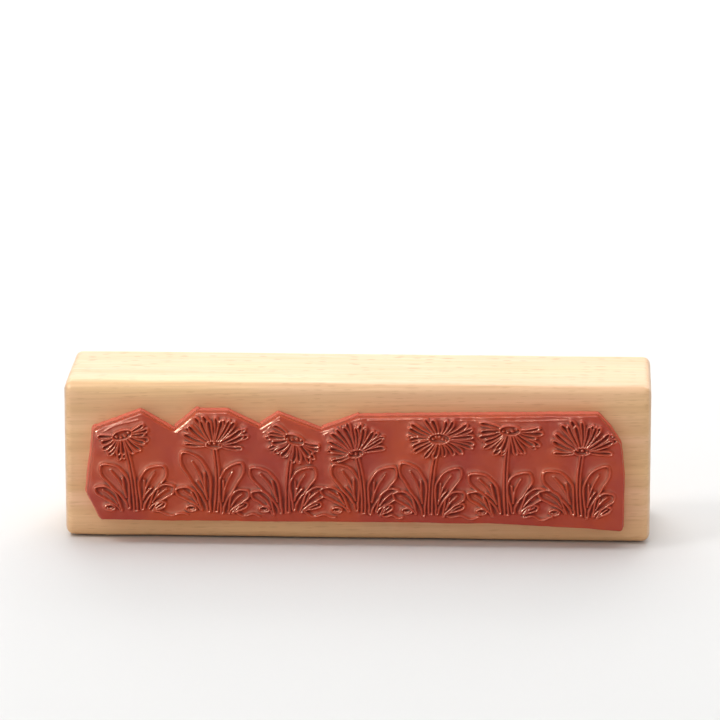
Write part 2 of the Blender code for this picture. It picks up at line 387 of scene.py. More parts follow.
def die_outline():
    """Outline of the die's face: straight scissor cuts that wander a little."""
    corners = [Vector(corner) for corner in DIE_CORNERS]
    smooth = walk(rounded(corners, DIE_CORNER_RADIUS, DIE_CORNER_STEPS), CUT_STEP)
    outline = []
    for i, point in enumerate(smooth):
        wander = smooth_noise(point.x, point.y, CUT_WANDER_WAVELENGTH, CUT_WANDER_LAYER)
        rag = smooth_noise(point.x, point.y, CUT_RAG_WAVELENGTH, CUT_RAG_LAYER)
        shift = CUT_WANDER * float(wander) + CUT_RAGGEDNESS * float(rag)
        outline.append(point + outward(smooth, i) * shift)
    return outline


def blade(base, tip, half_width, bend, profile, steps):
    """Closed outline of a petal or leaf whose half width follows a profile along a bent midrib."""
    along = (tip - base).normalized()
    across = Vector((-along.y, along.x))
    left = []
    right = []
    for step in range(steps + 1):
        t = (1.0 - math.cos(math.pi * step / steps)) / 2.0
        middle = base.lerp(tip, t) + across * bend * math.sin(math.pi * t)
        left.append(middle + across * half_width * profile(t))
        right.append(middle - across * half_width * profile(t))
    return right + left[::-1]


def petal_profile(t):
    """Half width along a petal: narrow at the root, full near a round tip."""
    if t < PETAL_BODY:
        return PETAL_ROOT_WIDTH + (1.0 - PETAL_ROOT_WIDTH) * (t / PETAL_BODY) ** PETAL_WIDENING
    return math.sqrt(max(0.0, 1.0 - ((t - PETAL_BODY) / PETAL_TIP) ** 2))


def leaf_profile(t):
    """Half width along a leaf: a narrow stalk, then a wavy blade that is fullest near its tip."""
    along_blade = max(0.0, (t - BLADE_START) / (1.0 - BLADE_START))
    swell = math.sin(math.pi * along_blade ** BLADE_SKEW) ** BLADE_FULLNESS
    stalk = STALK_WIDTH * (1.0 - t) ** STALK_TAPER * math.sqrt(min(1.0, t / STALK_START))
    return stalk + swell * (BLADE_WIDTH + BLADE_WAVE * math.sin(BLADE_WAVE_PHASE * t))


def vein(base, tip, bend, first, last, lean):
    """Open line along a leaf's middle between two shares of its length, leaning off by a distance."""
    along = (tip - base).normalized()
    across = Vector((-along.y, along.x))
    line = []
    for step in range(VEIN_STEPS + 1):
        share = step / VEIN_STEPS
        t = first + (last - first) * share
        aside = bend * math.sin(math.pi * t) + lean * share ** VEIN_CURVE
        line.append(base.lerp(tip, t) + across * aside)
    return line


def ellipse(centre, radii, first, last, steps):
    """Points along an elliptical arc between two angles in degrees."""
    points = []
    for step in range(steps + 1):
        angle = math.radians(first + (last - first) * step / steps)
        points.append(centre + Vector((radii[0] * math.cos(angle), radii[1] * math.sin(angle))))
    return points


def oval(centre, radii, count):
    """Outline of a whole ellipse, as a number of points."""
    return ellipse(centre, radii, 0.0, 360.0 - 360.0 / count, count - 1)


# A shape is (outline or None, [(line, half width), ...]): the outline hides whatever was drawn
# before it, then its lines are drawn.

def closed_shape(outline, half_width, details=()):
    """Shape whose outline hides what lies behind it and is drawn itself."""
    lines = [(outline + outline[:1], half_width)]
    lines += [(line, DETAIL_HALF_WIDTH) for line in details]
    return outline, lines


def petal_row(plant, row, centre_radii, reach):
    """One row of petals about the head's own centre, those that point sideways first."""
    first, last, count, reach_share = row
    shapes = []
    for i in range(count):
        angle = math.radians(first + (last - first) * i / (count - 1))
        angle += PETAL_TURN_VARIATION * vary(plant, PETAL_TURN_PART * i)
        stretch = reach_share * (1.0 + PETAL_LENGTH_VARIATION * vary(plant, PETAL_LENGTH_PART * i))
        rim = Vector((math.cos(angle) * reach[0], math.sin(angle) * reach[1])) * stretch
        root = Vector((math.cos(angle) * centre_radii[0], math.sin(angle) * centre_radii[1]))
        width_change = PETAL_WIDTH_VARIATION * vary(plant, PETAL_WIDTH_PART * i)
        width = PETAL_HALF_WIDTH * (1.0 + width_change)
        bend = PETAL_BEND * vary(plant, PETAL_BEND_PART * i)
        outline = blade(root * PETAL_ROOT_SHARE, rim, width, bend, petal_profile, PETAL_STEPS)
        shapes.append((abs(math.sin(angle)), closed_shape(outline, PETAL_LINE_HALF_WIDTH)))
    shapes.sort(key=lambda entry: entry[0])
    return [shape for _, shape in shapes]


def centre_shape(kind, plant):
    """Middle of a head about its own centre: seed disc, cup or dome, with a few seeds."""
    radii = CENTRE_RADII[kind]
    outline = oval(Vector((0.0, 0.0)), radii, CENTRE_POINTS)
    seeds = []
    count = CENTRE_SEEDS[kind]
    for i in range(count):
        x = radii[0] * SEED_SPREAD[0] * (2.0 * i / (count - 1) - 1.0)
        z = radii[1] * SEED_SPREAD[1] * vary(plant, SEED_PART * i)
        seeds.append(ellipse(Vector((x, z)), SEED_RADII, 0.0, 360.0, SEED_STEPS))
    return closed_shape(outline, PETAL_LINE_HALF_WIDTH, seeds)


def head_shapes(plant, kind, head, reach, tilt):
    """All shapes of one flower head, back to front."""
    radii = CENTRE_RADII[kind]
    shapes = []
    for number, row in enumerate(PETAL_ROWS[kind]):
        shapes += petal_row(plant + ROW_STEP * number, row, radii, reach)
    shapes.append(centre_shape(kind, plant))
    turn = Matrix.Rotation(math.radians(tilt), 2)
    placed = []
    for outline, lines in shapes:
        outline = [turn @ point + Vector(head) for point in outline]
        lines = [([turn @ point + Vector(head) for point in line], width) for line, width in lines]
        placed.append((outline, lines))
    return placed


def stem_shape(foot, head):
    """Stem as a narrow closed strip with a bent middle."""
    bend = math.copysign(STEM_BEND, head.x - foot.x)
    outline = blade(foot, head, STEM_HALF_WIDTH, bend, lambda t: 1.0 - STEM_TAPER * t, STEM_STEPS)
    return closed_shape(outline, OUTLINE_HALF_WIDTH)


def leaf_shape(base, tip, half_width, bend, side, branches):
    """Leaf with a midrib and a number of side veins, the first on the side towards the stem."""
    outline = blade(base, tip, half_width, bend, leaf_profile, LEAF_STEPS)
    veins = []
    for first, last, lean in (MIDRIB, *SIDE_VEINS[:branches]):
        veins.append(vein(base, tip, bend, first, last, lean * half_width * side))
    return closed_shape(outline, OUTLINE_HALF_WIDTH, veins)


def tall_leaves(plant, foot, tips):
    """The two big leaves behind the stem."""
    shapes = []
    for number, (side, tip) in enumerate(zip((-1.0, 1.0), tips)):
        size = 1.0 + LEAF_VARIATION * vary(plant, TALL_LEAF_PART + number)
        rise = BASE_VARIATION * vary(plant, TALL_LEAF_BASE_PART + number)
        base = foot + Vector((side * TALL_LEAF_BASE, rise))
        width = TALL_LEAF_HALF_WIDTH * size
        branches = 1 + (plant + number) % 2
        shapes.append(leaf_shape(base, foot + Vector(tip), width, side * TALL_LEAF_BEND, side, branches))
    return shapes


def low_leaves(plant, foot):
    """The smaller leaves in front, each a little different from plant to plant."""
    shapes = []
    for number, (base_x, tip, half_width, bend) in enumerate(LOW_LEAVES):
        size = 1.0 + LEAF_VARIATION * vary(plant, LOW_LEAF_PART + number)
        rise = BASE_VARIATION * vary(plant, LOW_LEAF_BASE_PART + number)
        base = foot + Vector((base_x, rise))
        side = math.copysign(1.0, base_x)
        branches = (plant + number) % 2
        shapes.append(leaf_shape(base, foot + Vector(tip) * size, half_width, bend, side, branches))
    return shapes


def bud_shape(plant, foot):
    """Small closed bud lying at the foot."""
    place = foot + Vector(BUD_PLACE) + Vector((BUD_VARIATION * vary(plant, BUD_PART), 0.0))
    slit_radii = [radius * share for radius, share in zip(BUD_RADII, SLIT_SHARE)]
    slit = ellipse(place, slit_radii, *SLIT_ANGLES, SLIT_STEPS)
    return closed_shape(oval(place, BUD_RADII, BUD_POINTS), OUTLINE_HALF_WIDTH, [slit])


def ground_line(plant):
    """Wavy line along the ground from this plant to the next."""
    start = PLANTS[plant][1] + GROUND_LINE_START
    end = PLANTS[plant + 1][1] + GROUND_LINE_END
    line = []
    for step in range(LINE_STEPS + 1):
        share = step / LINE_STEPS
        lift = GROUND_LINE_WAVE * math.sin(3.0 * math.pi * share + plant)
        lift += GROUND_LINE_RISE * (1.0 - share) ** 3
        line.append(Vector((start + (end - start) * share, GROUND_LINE_Z + lift)))
    return None, [(line, DETAIL_HALF_WIDTH)]


def plant_shapes(plant):
    """Every shape of one plant, back to front."""
    kind, foot_x, head, reach, tilt, left_tip, right_tip = PLANTS[plant]
    foot = Vector((foot_x, GROUND_Z))
    shapes = tall_leaves(plant, foot, (left_tip, right_tip))
    shapes.append(stem_shape(foot, Vector(head)))
    shapes += head_shapes(plant, kind, head, reach, tilt)
    shapes += low_leaves(plant, foot)
    shapes.append(bud_shape(plant, foot))
    if plant + 1 < len(PLANTS):
        shapes.append(ground_line(plant))
    return shapes


def lip_lines():
    """Low ridges just inside some of the cuts."""
    lines = []
    for cut in LIP_CUTS:
        start = Vector(DIE_CORNERS[cut])
        end = Vector(DIE_CORNERS[cut + 1])
        along = (end - start).normalized()
        inwards = Vector((along.y, -along.x))
        line = []
        for step in range(LINE_STEPS + 1):
            share = LIP_ENDS[0] + (LIP_ENDS[1] - LIP_ENDS[0]) * step / LINE_STEPS
            inset = LIP_INSET + LIP_SAG * math.sin(2.0 * math.pi * share + cut)
            line.append(start.lerp(end, share) + inwards * inset)
        lines.append(line)
    return lines


# ---------------- fields on a grid

class Grid:
    """Regular grid over a rectangle of (x, z), with a field of distance to the drawn lines."""

    def __init__(self, low, high, cell):
        self.low = np.array(low)
        self.high = np.array(high)
        self.cell = cell
        self.count = np.ceil((self.high - self.low) / cell).astype(int) + 1
        self.x = self.low[0] + cell * np.arange(self.count[0])
        self.z = self.low[1] + cell * np.arange(self.count[1])
        self.distance = np.full(tuple(self.count), FAR)

    def window(self, points, margin):
        """Slices of the grid that cover some points with a margin."""
        low = (points.min(axis=0) - margin - self.low) / self.cell
        high = (points.max(axis=0) + margin - self.low) / self.cell
        low = np.clip(np.floor(low).astype(int), 0, self.count)
        high = np.clip(np.ceil(high).astype(int) + 1, 0, self.count)
        return slice(low[0], high[0]), slice(low[1], high[1])

    def erase(self, outline):
        """Forget every line inside an outline."""
        points = np.array(outline)
        across, up = self.window(points, 0.0)
        inside = points_inside(self.x[across], self.z[up], points)
        self.distance[across, up][inside] = FAR

    def draw(self, line, half_width, reach):
        """Record the distance to the edge of a line, within reach of it."""
        points = np.array(line)
        for start, end in zip(points[:-1], points[1:]):
            across, up = self.window(np.array((start, end)), reach)
            x = self.x[across][:, None]
            z = self.z[up][None, :]
            near = segment_distance(x, z, start, end) - half_width
            view = self.distance[across, up]
            np.minimum(view, near, out=view)

    def draw_shapes(self, shapes, reach):
        """Draw shapes from back to front."""
        for outline, lines in shapes:
            if outline is not None:
                self.erase(outline)
            for line, half_width in lines:
                self.draw(line, half_width, reach)


def points_inside(x, z, outline):
    """Which points of a grid with columns x and rows z lie inside a closed outline."""
    inside = np.zeros((len(x), len(z)), bool)
    for (ax, az), (bx, bz) in zip(outline, np.roll(outline, -1, axis=0)):
        rows = slice(*np.searchsorted(z, sorted((az, bz))))
        if rows.start < rows.stop:
            crossing = ax + (z[rows] - az) * (bx - ax) / (bz - az)
            inside[:, rows] ^= x[:, None] < crossing
    return inside


def segment_distance(x, z, start, end):
    """Distance from points to a segment."""
    along = end - start
    squared_length = max(float(along @ along), sys.float_info.min)
    t = ((x - start[0]) * along[0] + (z - start[1]) * along[1]) / squared_length
    t = np.clip(t, 0.0, 1.0)
    return np.hypot(x - start[0] - t * along[0], z - start[1] - t * along[1])


def outline_depth(grid, outline, reach):
    """Signed distance from the grid's points to a closed outline, positive inside."""
    rim = Grid(grid.low, grid.high, grid.cell)
    rim.draw(outline + outline[:1], 0.0, reach)
    inside = points_inside(grid.x, grid.z, np.array(outline))
    return np.where(inside, rim.distance, -rim.distance)


def contour_cells(level):
    """Polygons that cover where a grid's level is positive: whole cells, cut ones on the edge.

    Returns the two grid points that each point of the polygons lies between, its share of the
    way from the first to the second, and the polygons."""
    inside = level > 0.0
    index = {}
    sources = []
    polygons = []

    def point(a, b):
        """Number of the grid point a, or of the crossing between grid points a and b."""
        key = (a, b) if a <= b else (b, a)
        if key not in index:
            share = 0.0
            if a != b:
                a, b = key
                share = level[a] / (level[a] - level[b])
            index[key] = len(sources)
            sources.append((a, b, share))
        return index[key]

    touched = inside[:-1, :-1] | inside[1:, :-1] | inside[1:, 1:] | inside[:-1, 1:]
    for i, j in np.argwhere(touched).tolist():
        corners = ((i, j), (i + 1, j), (i + 1, j + 1), (i, j + 1))
        polygon = []
        for a, b in zip(corners, corners[1:] + corners[:1]):
            if inside[a]:
                polygon.append(point(a, a))
            if inside[a] != inside[b]:
                polygon.append(point(a, b))
        if len(polygon) > 2:
            polygons.append(polygon)
    first, second, share = (np.array(part) for part in zip(*sources))
    return first, second, share, polygons


def between(values, first, second, share):
    """Values of a grid field at the contour's points."""
    start = values[first[:, 0], first[:, 1]]
    return start + (values[second[:, 0], second[:, 1]] - start) * share


def contour_places(grid, first, second, share):
    """The x and the z of the contour's points."""
    shape = grid.distance.shape
    x = between(np.broadcast_to(grid.x[:, None], shape), first, second, share)
    z = between(np.broadcast_to(grid.z[None, :], shape), first, second, share)
    return x, z


NOISE_TABLE = np.random.default_rng(SEED).uniform(-1.0, 1.0, (NOISE_SIDE, NOISE_SIDE))


def smooth_noise(x, z, wavelength, layer):
    """Smooth value noise from -1 to 1 over a plane. Each layer reads another part of the table."""
    table = NOISE_TABLE
    n = NOISE_SIDE
    u = np.asarray(x) / wavelength + NOISE_START + NOISE_SHIFT * layer
    v = np.asarray(z) / wavelength + NOISE_START
    i = np.floor(u).astype(int)
    j = np.floor(v).astype(int)
    fu = u - i
    fv = v - j
    fu = fu * fu * (3.0 - 2.0 * fu)
    fv = fv * fv * (3.0 - 2.0 * fv)
    low = table[i % n, j % n] * (1.0 - fu) + table[(i + 1) % n, j % n] * fu
    high = table[i % n, (j + 1) % n] * (1.0 - fu) + table[(i + 1) % n, (j + 1) % n] * fu
    return low * (1.0 - fv) + high * fv


def slanted_noise(x, y, z, slant, wavelength, layer):
    """Smooth noise in space, read along a slant so that it also changes with y."""
    return smooth_noise(x + slant[0] * y, z + slant[1] * y, wavelength, layer)


def pen_variation(grid):
    """How far the edges of the drawn lines stand back from place to place."""
    return PEN_VARIATION * smooth_noise(grid.x[:, None], grid.z[None, :], PEN_WAVELENGTH, PEN_LAYER)


# ---------------- pieces

def add_object(name, data):
    """New object in the scene that holds a mesh, a lamp or a camera."""
    thing = bpy.data.objects.new(name, data)
    bpy.context.scene.collection.objects.link(thing)
    return thing


def add_piece(mesh, material, slot, *replaced):
    """Piece named like its mesh, which rides on the root body and stands for CAD nodes."""
    piece = add_object(mesh.name, mesh)
    mesh.materials.append(material)
    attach(piece, "root")
    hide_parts(*replaced)
    return piece


def mesh_from(name, vertices, faces):
    """Smooth mesh with its normals facing out."""
    mesh = bpy.data.meshes.new(name)
    mesh.from_pydata([tuple(map(float, v)) for v in vertices], [], faces)
    bm = bmesh.new()
    bm.from_mesh(mesh)
    bmesh.ops.recalc_face_normals(bm, faces=bm.faces)
    bm.to_mesh(mesh)
    bm.free()
    mesh.shade_smooth()
    return mesh


def edge_positions(half, cell):
    """Grid positions from -half to half: even in the middle, finer round the edges."""
    flat = half - EDGE_RADIUS
    angles = [math.pi / 4.0 * k / EDGE_STEPS for k in range(1, EDGE_STEPS + 1)]
    curve = [flat + EDGE_RADIUS * math.tan(angle) for angle in angles]
    count = max(2, round(2.0 * flat / cell))
    middle = [-flat + 2.0 * flat * k / count for k in range(count + 1)]
    return [-position for position in reversed(curve)] + middle + curve


def rounded_block():
    """Block with round edges and the slight unevenness of hand sanding."""
    half = (BLOCK_HIGH - BLOCK_LOW) / 2.0
    centre = (BLOCK_HIGH + BLOCK_LOW) / 2.0
    axes = [edge_positions(side, BLOCK_CELL) for side in half]
    index = {}
    vertices = []

    def vertex(key):
        """Number of the vertex at three grid positions."""
        if key not in index:
            index[key] = len(vertices)
            vertices.append([axes[axis][key[axis]] for axis in range(3)])
        return index[key]

    faces = []
    for axis in range(3):
        u, v = [other for other in range(3) if other != axis]
        for side in (0, len(axes[axis]) - 1):
            for i in range(len(axes[u]) - 1):
                for j in range(len(axes[v]) - 1):
                    quad = []
                    for a, b in ((i, j), (i + 1, j), (i + 1, j + 1), (i, j + 1)):
                        key = [0, 0, 0]
                        key[axis], key[u], key[v] = side, a, b
                        quad.append(vertex(tuple(key)))
                    faces.append(quad)
    points = np.array(vertices)
    core = np.clip(points, EDGE_RADIUS - half, half - EDGE_RADIUS)
    outwards = (points - core) / np.linalg.norm(points - core, axis=1)[:, None]
    rough = slanted_noise(*points.T, BLOCK_SLANT, SANDING_WAVELENGTH, SANDING_LAYER)
    depth = SANDING_DEPTH * (1.0 + rough) / 2.0
    on_edge = np.count_nonzero(np.abs(points) > half - EDGE_RADIUS, axis=1) > 1
    depth = np.where(on_edge, EDGE_WEAR * depth, depth)
    return mesh_from("block_body", centre + core + outwards * (EDGE_RADIUS - depth)[:, None], faces)


def cut_shift(normal, y):
    """How far the leaning cut stands out from the die's face outline at some depth."""
    share = (y - PRINTING_Y) / (BLOCK_FACE_Y - PRINTING_Y)
    return share * (CUT_LEAN + CUT_LEAN_LEFT * max(0.0, -normal.x))


def cut_layer(name, y_inner, y_outer, setback, bulge, unevenness, layer):
    """Flat layer cut along the die's outline, with a slightly uneven wall."""
    outline = die_outline()
    count = len(outline)
    rings = len(LAYER_WALL_LEVELS)
    vertices = []
    for level in LAYER_WALL_LEVELS:
        y = y_inner + (y_outer - y_inner) * level
        for i, point in enumerate(outline):
            normal = outward(outline, i)
            rough = slanted_noise(point.x, y, point.y, WALL_SLANT, WALL_WAVELENGTH, layer)
            shift = cut_shift(normal, y) + bulge * math.sin(math.pi * level) - setback
            moved = point + normal * (shift + unevenness * float(rough))
            vertices.append((moved.x, y, moved.y))
    faces = []
    for ring in range(rings - 1):
        for i in range(count):
            after = (i + 1) % count
            faces.append((ring * count + i, ring * count + after,
                          (ring + 1) * count + after, (ring + 1) * count + i))
    faces.append(list(range(count)))
    faces.append([(rings - 1) * count + i for i in range(count)])
    return mesh_from(name, vertices, faces)


def relief_height(distance):
    """Share of the relief's height at a distance from a line's edge: round top, flank, soft skirt."""
    t = np.clip((distance + ROUNDING_START) / FLANK_WIDTH, 0.0, 1.0)
    fall = np.where(t < TOP_ROUNDING, t * t / (2.0 * TOP_ROUNDING), t - TOP_ROUNDING / 2.0)
    flank = 1.0 - fall / (1.0 - TOP_ROUNDING / 2.0)
    skirt = np.exp(-(np.clip(distance, 0.0, FAR) / SKIRT_WIDTH) ** 2)
    return (1.0 - SKIRT_SHARE) * flank + SKIRT_SHARE * skirt


def blurred(field, reach):
    """Field averaged with a bell-shaped weight whose deviation is given in grid cells."""
    margin = math.ceil(BLUR_EXTENT * reach)
    offsets = np.arange(-margin, margin + 1)
    weights = np.exp(-0.5 * (offsets / reach) ** 2)
    weights /= weights.sum()
    for axis in (0, 1):
        margins = [(0, 0), (0, 0)]
        margins[axis] = (margin, margin)
        padded = np.pad(field, margins, mode="edge")
        places = np.arange(margin, margin + field.shape[axis])
        parts = (np.take(padded, places + offset, axis=axis) for offset in offsets)
        field = sum(weight * part for weight, part in zip(weights, parts))
    return field


def contour_loop(on_edge, polygons):
    """Contour's own points, in their order round the shape."""
    after = {}
    for polygon in polygons:
        for a, b in zip(polygon, polygon[1:] + polygon[:1]):
            if on_edge[a] and on_edge[b]:
                after[a] = b
    start = next(iter(after))
    loop = [start]
    while after[loop[-1]] != start:
        loop.append(after[loop[-1]])
    return loop


def relief_field(grid):
    """Height of the raised lines, and of the lips inside the cuts, over a grid."""
    for plant in range(len(PLANTS)):
        grid.draw_shapes(plant_shapes(plant), SKIRT_REACH)
    lips = Grid(grid.low, grid.high, grid.cell)
    for line in lip_lines():
        lips.draw(line, LIP_HALF_WIDTH, SKIRT_WIDTH)
    relief = RELIEF_HEIGHT * relief_height(grid.distance + pen_variation(grid))
    lip = LIP_HEIGHT * np.clip(1.0 - lips.distance / LIP_FLANK_WIDTH, 0.0, 1.0)
    return np.maximum(relief, lip)


def add_die_wall(outline, loop, vertices, polygons):
    """Add the cut wall behind a loop of vertices on the die's face, and the flat back."""
    corners = np.array(outline)
    normals = []
    for i in loop:
        x, _, z = vertices[i]
        nearest = np.argmin((corners[:, 0] - x) ** 2 + (corners[:, 1] - z) ** 2)
        normals.append(outward(outline, int(nearest)))
    ring = loop
    for level in DIE_WALL_LEVELS:
        new_ring = []
        for i, normal in zip(loop, normals):
            x, face_y, z = vertices[i]
            y = face_y + (DIE_INNER_Y - face_y) * level
            shift = cut_shift(normal, y)
            new_ring.append(len(vertices))
            vertices.append([x + normal.x * shift, y, z + normal.y * shift])
        for k in range(len(loop)):
            after = (k + 1) % len(loop)
            polygons.append([ring[after], ring[k], new_ring[k], new_ring[after]])
        ring = new_ring
    polygons.append(ring[::-1])


def die_mesh():
    """Rubber die: a sheet with raised lines on its face, cut out along its outline."""
    outline = die_outline()
    corners = np.array(outline)
    grid = Grid(corners.min(axis=0) - DIE_CELL, corners.max(axis=0) + DIE_CELL, DIE_CELL)
    relief = relief_field(grid)
    # How far each point lies below its surroundings; the rubber's colour paints shade into the recesses
    # and a highlight onto the ridges from it
    below = (blurred(relief, RECESS_REACH / DIE_CELL) - relief) / RECESS_DEPTH
    depth = outline_depth(grid, outline, RIM_REACH)
    first, second, share, polygons = contour_cells(depth)
    x, z = contour_places(grid, first, second, share)
    recess = between(np.clip(below, -1.0, 1.0), first, second, share)
    height = between(relief, first, second, share)
    height += DIE_WAVE * smooth_noise(x, z, DIE_WAVELENGTH, DIE_WAVE_LAYER)
    height += DIE_GRAIN * smooth_noise(x, z, DIE_GRAIN_WAVELENGTH, DIE_GRAIN_LAYER)
    height = np.minimum(height, RELIEF_HEIGHT)
    rim = np.clip(between(depth, first, second, share) / RIM_WIDTH, 0.0, 1.0)
    height -= RIM_DROP * (1.0 - rim) ** 2
    vertices = np.column_stack((x, PRINTING_Y + RELIEF_HEIGHT - height, z)).tolist()
    loop = contour_loop(np.any(first != second, axis=1), polygons)
    add_die_wall(outline, loop, vertices, polygons)
    mesh = mesh_from("die_relief", vertices, polygons)
    values = np.zeros(len(vertices))
    values[:len(recess)] = recess
    mesh.attributes.new(RECESS, "FLOAT", "POINT").data.foreach_set("value", values)
    return mesh


def ink_mesh(plant):
    """Printed lines of one plant, flat on the block."""
    shapes = plant_shapes(plant)
    points = np.array([point for _, lines in shapes for line, _ in lines for point in line])
    grid = Grid(points.min(axis=0) - INK_MARGIN, points.max(axis=0) + INK_MARGIN, INK_CELL)
    grid.draw_shapes(shapes, INK_MARGIN)
    first, second, share, polygons = contour_cells(-grid.distance - pen_variation(grid))
    x, z = contour_places(grid, first, second, share)
    y = np.full(x.shape, PRINT_FACE_Y)
    mesh = bpy.data.meshes.new(f"ink_lines_{plant + 1}")
    mesh.from_pydata(np.column_stack((x, y, z)).tolist(), [], polygons)
    return mesh


# ---------------- materials

def feed(tree, target, value):
    """Feed an input with another node's output or with a constant."""
    if isinstance(value, bpy.types.NodeSocket):
        tree.links.new(value, target)
    else:
        target.default_value = value


def new_material(name):
    """Material with a Principled shader. Returns it, its tree, the shader and object coordinates."""
    made = bpy.data.materials.new(name)
    made.use_nodes = True
    tree = made.node_tree
    where = tree.nodes.new("ShaderNodeTexCoord").outputs["Object"]
    return made, tree, tree.nodes["Principled BSDF"], where


def dress(tree, shader, colour, roughness, specular=0.5, normal=None):
    """Give a shader its colour, roughness, specular level and bump."""
    feed(tree, shader.inputs["Base Color"], colour)
    feed(tree, shader.inputs["Roughness"], roughness)
    shader.inputs["Specular IOR Level"].default_value = specular
    if normal is not None:
        feed(tree, shader.inputs["Normal"], normal)


def calc(tree, operation, *values):
    """Math node."""
    made = tree.nodes.new("ShaderNodeMath")
    made.operation = operation
    for target, value in zip(made.inputs, values):
        feed(tree, target, value)
    return made.outputs[0]


def stretched(tree, vector, scale, rotation=(0.0, 0.0, 0.0)):
    """Coordinates scaled along the axes, then turned about them."""
    made = tree.nodes.new("ShaderNodeMapping")
    feed(tree, made.inputs["Vector"], vector)
    made.inputs["Scale"].default_value = scale
    made.inputs["Rotation"].default_value = rotation
    return made.outputs[0]


def noise(tree, vector, scale, detail=2.0, roughness=0.5):
    """Noise from 0 to 1."""
    made = tree.nodes.new("ShaderNodeTexNoise")
    feed(tree, made.inputs["Vector"], vector)
    made.inputs["Scale"].default_value = scale
    made.inputs["Detail"].default_value = detail
    made.inputs["Roughness"].default_value = roughness
    return made.outputs[0]


def fade(tree, value, start, end, low=0.0, high=1.0):
    """Smooth step of a value between start and end."""
    made = tree.nodes.new("ShaderNodeMapRange")
    made.interpolation_type = "SMOOTHSTEP"
    feed(tree, made.inputs["Value"], value)
    made.inputs["From Min"].default_value = start
    made.inputs["From Max"].default_value = end
    made.inputs["To Min"].default_value = low
    made.inputs["To Max"].default_value = high
    return made.outputs[0]


def mix(tree, factor, first, second):
    """Mix of two colours, each a colour triple or another node's output."""
    made = tree.nodes.new("ShaderNodeMix")
    made.data_type = "RGBA"
    feed(tree, made.inputs["Factor"], factor)
    for name, colour in (("A", first), ("B", second)):
        target = [s for s in made.inputs if s.name == name and s.type == "RGBA"][0]
        feed(tree, target, colour if isinstance(colour, bpy.types.NodeSocket) else (*colour, 1.0))
    return [s for s in made.outputs if s.type == "RGBA"][0]


def bump(tree, height, strength, distance):
    """Bump from a height."""
    made = tree.nodes.new("ShaderNodeBump")
    made.inputs["Strength"].default_value = strength
    made.inputs["Distance"].default_value = distance
    feed(tree, made.inputs["Height"], height)
    return made.outputs[0]


def flecks(tree, vector, scale, size, share, strength):
    """Mask of scattered lens-shaped flecks, one in some of the cells of a stretched pattern."""
    cells = tree.nodes.new("ShaderNodeTexVoronoi")
    feed(tree, cells.inputs["Vector"], stretched(tree, vector, scale))
    cells.inputs["Scale"].default_value = 1.0
    split = tree.nodes.new("ShaderNodeSeparateColor")
    feed(tree, split.inputs[0], cells.outputs["Color"])
    chosen = fade(tree, split.outputs[0], 1.0 - share, 1.0 - share * FLECK_FULL_SHARE)
    near = fade(tree, cells.outputs["Distance"], size, size * FLECK_CORE)
    return calc(tree, "MULTIPLY", calc(tree, "MULTIPLY", chosen, near), strength)


def axes_of(tree, vector):
    """The x, y and z of a vector, as outputs."""
    split = tree.nodes.new("ShaderNodeSeparateXYZ")
    feed(tree, split.inputs[0], vector)
    return split.outputs


def growth_rings(tree, where, y, z):
    """Mask of growth rings round the pith, drifting a little."""
    drift = calc(tree, "MULTIPLY", noise(tree, where, 14.0, 1.0), RING_DRIFT)
    y = calc(tree, "SUBTRACT", y, PITH_Y)
    z = calc(tree, "SUBTRACT", z, PITH_Z)
    square = calc(tree, "ADD", calc(tree, "MULTIPLY", y, y), calc(tree, "MULTIPLY", z, z))
    radius = calc(tree, "ADD", calc(tree, "SQRT", square), drift)
    phase = calc(tree, "MULTIPLY", radius, RING_PHASE_PER_METRE)
    return fade(tree, calc(tree, "SINE", phase), -0.2, 1.0)


def ray_flecks(tree, grain_way, y):
    """Strength of the short dark flecks along the grain, weaker towards the stamping side."""
    small = flecks(tree, grain_way, *SMALL_FLECKS)
    large = flecks(tree, grain_way, *LARGE_FLECKS)
    dark = calc(tree, "MAXIMUM", small, large)
    return calc(tree, "MULTIPLY", dark, fade(tree, y, -0.010, 0.010, 0.40, 1.0))


def end_grain(tree, where, rings):
    """Colour of the sawn ends: open pores and clearer rings."""
    pores = noise(tree, stretched(tree, where, PORE_SCALE), 1.0, 3.0, 0.6)
    colour = mix(tree, fade(tree, pores, 0.40, 0.66), END_PALE, END_PORE)
    return mix(tree, calc(tree, "MULTIPLY", rings, END_RING_STRENGTH), colour, END_RING)


def beech():
    """Steamed beech: pale tan, short brown ray flecks along the grain, faint rings, end grain."""
    made, tree, shader, where = new_material("beech_wood")
    grain_way = stretched(tree, where, (1.0, 1.0, 1.0), GRAIN_TILT)
    _, y, z = axes_of(tree, where)
    rings = growth_rings(tree, where, y, z)
    fibre = noise(tree, stretched(tree, grain_way, FIBRE_SCALE), 1.0, 4.0, 0.6)
    streak = noise(tree, stretched(tree, grain_way, STREAK_SCALE), 1.0, 3.0, 0.55)
    tone = noise(tree, stretched(tree, where, TONE_SCALE), 1.0, 2.0)
    dark = ray_flecks(tree, grain_way, y)
    colour = mix(tree, fade(tree, tone, 0.35, 0.65), BEECH_PALE, BEECH_ROSY)
    colour = mix(tree, fade(tree, streak, 0.3, 0.75), colour, BEECH_STREAK)
    colour = mix(tree, calc(tree, "MULTIPLY", rings, RING_STRENGTH), colour, BEECH_RING)
    colour = mix(tree, fade(tree, fibre, 0.42, 0.72, 0.0, 0.50), colour, BEECH_FIBRE)
    colour = mix(tree, dark, colour, BEECH_FLECK)
    end_on = calc(tree, "ABSOLUTE", axes_of(tree, where.node.outputs["Normal"])[0])
    colour = mix(tree, fade(tree, end_on, 0.55, 0.98), colour, end_grain(tree, where, rings))
    grain = calc(tree, "SUBTRACT", fibre, calc(tree, "MULTIPLY", dark, 0.5))
    roughness = fade(tree, fibre, 0.3, 0.8, 0.50, 0.66)
    dress(tree, shader, colour, roughness, 0.35, bump(tree, grain, 0.35, 0.04 * MM))
    return made


